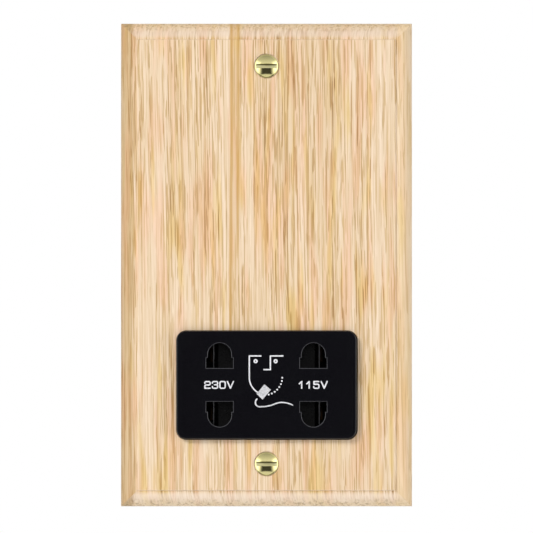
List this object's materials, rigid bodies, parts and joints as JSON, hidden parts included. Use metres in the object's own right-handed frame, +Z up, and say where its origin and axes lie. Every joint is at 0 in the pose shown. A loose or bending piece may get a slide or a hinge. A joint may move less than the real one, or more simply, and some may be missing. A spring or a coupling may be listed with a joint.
{
  "type": "shaver socket",
  "caption": "Dual-voltage shaver socket on an oak plate with an ovolo edge: black insert with D-shaped pin apertures and an interlock shutter, transformer housing behind.",
  "frame": {"origin": "centre of the plate's back face, midway between the two fixing screws, on the wall plane", "axes": "+Z up, +X to the right seen from the front, +Y into the wall; the front faces -Y"},
  "size_m": [0.0886, 0.0495, 0.1468],
  "materials": {
    "oak": "satin lacquer, open grain",
    "brass_polished": "polished",
    "black_moulding": "fine gloss",
    "print_white": "pad-printed ink",
    "shutter_moulding": "satin",
    "grey_moulding": "satin",
    "carrier_moulding": "satin",
    "zinc_steel": "zinc plated",
    "spring_steel": "drawn wire",
    "contact_bronze": "rolled sheet, darkened",
    "terminal_brass": "machined",
    "lamination_steel": "stacked sheet edges, varnished",
    "nylon_bobbin": "moulded",
    "enamelled_copper": "enamelled wire",
    "polyester_tape": "tape",
    "cutout_case": "satin",
    "insulation_brown": "extruded",
    "insulation_blue": "extruded",
    "insulation_red": "extruded",
    "insulation_white": "extruded"
  },
  "bodies": {
    "unit": {"front_plate": "oak", "fixing_screws": "brass_polished", "socket_insert": "black_moulding", "voltage_legend": "print_white", "shaver_symbol": "print_white", "return_spring_left": "spring_steel", "return_spring_right": "spring_steel", "mounting_base": "black_moulding", "retaining_rail_left": "zinc_steel", "retaining_rail_right": "zinc_steel", "wood_screws": "zinc_steel", "contact_carrier": "carrier_moulding", "carrier_screws": "zinc_steel", "common_contact": "contact_bronze", "contact_230v": "contact_bronze", "contact_115v": "contact_bronze", "switch_contact_upper": "contact_bronze", "switch_contact_lower": "contact_bronze", "contact_cover": "carrier_moulding", "cover_screws": "zinc_steel", "core_laminations": "lamination_steel", "core_screws": "zinc_steel", "bobbin": "nylon_bobbin", "primary_winding": "enamelled_copper", "secondary_winding": "enamelled_copper", "winding_tape": "polyester_tape", "thermal_cutout": "cutout_case", "rear_housing": "grey_moulding", "housing_screws": "zinc_steel", "terminal_block": "grey_moulding", "block_screws": "zinc_steel", "live_terminal": "terminal_brass", "neutral_terminal": "terminal_brass", "earth_terminal": "terminal_brass", "terminal_screws": "zinc_steel", "earth_strap": "terminal_brass", "earth_screw": "zinc_steel", "live_lead": "insulation_brown", "neutral_lead": "insulation_blue", "switch_lead": "insulation_brown", "primary_lead": "insulation_brown", "common_lead": "insulation_white", "lead_230v": "insulation_red", "lead_115v": "insulation_red"},
    "shutter": {"interlock_shutter": "shutter_moulding", "bridge_contact": "contact_bronze"}
  },
  "joints": [
    {"name": "shutter_slide", "type": "slide", "parent": "unit", "child": "shutter", "axis": [1, 0, 0], "range_m": [-0.005, 0.005], "stiffness_N_per_m": 200, "deforming": ["return_spring_left", "return_spring_right"]}
  ]
}
